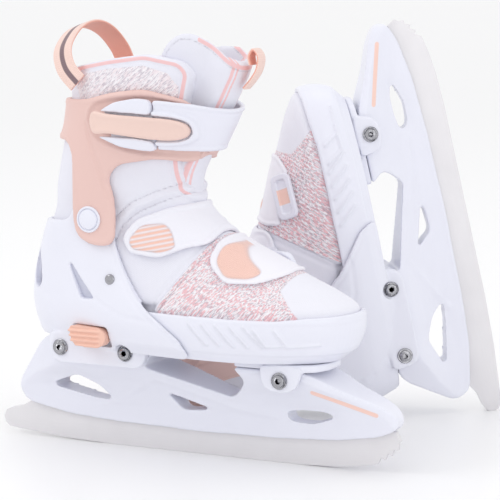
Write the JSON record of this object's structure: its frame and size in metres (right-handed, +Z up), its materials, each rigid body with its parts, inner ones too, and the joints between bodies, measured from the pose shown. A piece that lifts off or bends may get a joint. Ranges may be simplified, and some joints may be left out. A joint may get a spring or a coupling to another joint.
{
  "type": "pair of ice skates",
  "caption": "Adjustable soft-boot ice skates: one standing on its blade, its mirror image lying tipped back on the heel behind it.",
  "frame": {"origin": "centre of the pair's bounding box on the floor plane", "axes": "+Z up, +X from heel to toe of the standing right skate, +Y from its lateral to its medial side, towards the lying left skate"},
  "size_m": [0.281, 0.258, 0.2745],
  "materials": {
    "white_shell": "glossy moulded nylon",
    "peach_shell": "satin moulded",
    "peach_button": "ribbed satin",
    "padding": "smooth coated textile over foam",
    "knit": "melange knit",
    "webbing": "woven webbing",
    "steel": "matte ground steel",
    "bright_metal": "polished"
  },
  "bodies": {
    "right_frame": {"right_blade": "steel", "right_blade_holder": "white_shell", "right_base_plate": "white_shell", "right_rear_bolt": "bright_metal", "right_middle_bolt": "bright_metal", "right_front_bolt": "bright_metal", "right_heel_shell": "white_shell", "right_shell_rivet": "bright_metal", "right_button_spring": "steel", "right_cuff_pivot_outer": "white_shell", "right_cuff_pivot_inner": "white_shell", "right_liner": "padding", "right_insole": "padding", "right_mid_strap_anchor": "padding"},
    "right_toe": {"right_toe_shell": "white_shell", "right_vamp": "knit", "right_front_strap_anchor": "padding"},
    "right_cuff": {"right_cuff": "peach_shell", "right_collar": "padding", "right_tongue": "padding", "right_heel_loop": "webbing", "right_tongue_loop": "webbing", "right_buckle_base": "white_shell", "right_strap_rivet": "bright_metal"},
    "right_power_strap": {"right_power_strap": "white_shell", "right_buckle_pin": "steel"},
    "right_lever": {"right_buckle_lever": "peach_shell"},
    "right_mid_strap": {"right_mid_strap": "padding"},
    "right_front_strap": {"right_front_strap": "padding"},
    "right_button": {"right_size_button": "peach_button"},
    "left_frame": {"left_blade": "steel", "left_blade_holder": "white_shell", "left_base_plate": "white_shell", "left_rear_bolt": "bright_metal", "left_middle_bolt": "bright_metal", "left_front_bolt": "bright_metal", "left_heel_shell": "white_shell", "left_shell_rivet": "bright_metal", "left_button_spring": "steel", "left_cuff_pivot_outer": "white_shell", "left_cuff_pivot_inner": "white_shell", "left_liner": "padding", "left_insole": "padding", "left_mid_strap_anchor": "padding"},
    "left_toe": {"left_toe_shell": "white_shell", "left_vamp": "knit", "left_front_strap_anchor": "padding"},
    "left_cuff": {"left_cuff": "peach_shell", "left_collar": "padding", "left_tongue": "padding", "left_heel_loop": "webbing", "left_tongue_loop": "webbing", "left_buckle_base": "white_shell", "left_strap_rivet": "bright_metal"},
    "left_power_strap": {"left_power_strap": "white_shell", "left_buckle_pin": "steel"},
    "left_lever": {"left_buckle_lever": "peach_shell"},
    "left_mid_strap": {"left_mid_strap": "padding"},
    "left_front_strap": {"left_front_strap": "padding"},
    "left_button": {"left_size_button": "peach_button"}
  },
  "joints": [
    {"name": "right_toe_slide", "type": "slide", "parent": "right_frame", "child": "right_toe", "axis": [1, 0, 0], "range_m": [0, 0.018]},
    {"name": "right_cuff_hinge", "type": "hinge", "parent": "right_frame", "child": "right_cuff", "pos_m": [-0.0555, -0.07855, 0.151], "axis": [0, 1, 0], "range_deg": [-5, 10]},
    {"name": "right_strap_open", "type": "hinge", "parent": "right_cuff", "child": "right_power_strap", "pos_m": [-0.02, -0.03535, 0.209], "axis": [0, 0, 1], "range_deg": [0, 60]},
    {"name": "right_lever_open", "type": "hinge", "parent": "right_power_strap", "child": "right_lever", "pos_m": [0.012, -0.11655, 0.2085], "axis": [0, 0, 1], "range_deg": [0, 90]},
    {"name": "right_mid_strap_lift", "type": "hinge", "parent": "right_frame", "child": "right_mid_strap", "pos_m": [0.0168, -0.07905, 0.1509], "axis": [-0.6606, 0, 0.7507], "range_deg": [0, 40]},
    {"name": "right_front_strap_lift", "type": "hinge", "parent": "right_toe", "child": "right_front_strap", "pos_m": [0.0475, -0.07905, 0.133], "axis": [-0.9117, 0, 0.4108], "range_deg": [0, 60]},
    {"name": "right_button_press", "type": "slide", "parent": "right_frame", "child": "right_button", "axis": [0, 1, 0], "range_m": [0, 0.003], "stiffness_N_per_m": 800, "deforming": ["right_button_spring"]},
    {"name": "left_toe_slide", "type": "slide", "parent": "left_frame", "child": "left_toe", "axis": [-0.1936, -0.1104, 0.9748], "range_m": [0, 0.018]},
    {"name": "left_cuff_hinge", "type": "hinge", "parent": "left_frame", "child": "left_cuff", "pos_m": [-0.00371, 0.04759, 0.05243], "axis": [-0.4955, 0.8686, 0], "range_deg": [-5, 10]},
    {"name": "left_strap_open", "type": "hinge", "parent": "left_cuff", "child": "left_power_strap", "pos_m": [-0.0383, -0.02187, 0.07411], "axis": [0.8468, 0.483, 0.2229], "range_deg": [0, 22]},
    {"name": "left_lever_open", "type": "hinge", "parent": "left_power_strap", "child": "left_lever", "pos_m": [-0.0843, 0.04537, 0.10542], "axis": [0.8468, 0.483, 0.2229], "range_deg": [0, 90]},
    {"name": "left_mid_strap_lift", "type": "hinge", "parent": "left_frame", "child": "left_mid_strap", "pos_m": [-0.01788, 0.04009, 0.12294], "axis": [0.5078, 0.2896, 0.8113], "range_deg": [0, 40]},
    {"name": "left_front_strap_lift", "type": "hinge", "parent": "left_toe", "child": "left_front_strap", "pos_m": [-0.00866, 0.04534, 0.15685], "axis": [0.1713, 0.0977, 0.9804], "range_deg": [0, 60]},
    {"name": "left_button_press", "type": "slide", "parent": "left_frame", "child": "left_button", "axis": [0.4955, -0.8686, 0], "range_m": [0, 0.003], "stiffness_N_per_m": 800, "deforming": ["left_button_spring"]},
    {"name": "left_skate_lift", "type": "slide", "parent": "right_frame", "child": "left_frame", "axis": [0, 0, 1], "range_m": [0, 0.3]}
  ]
}
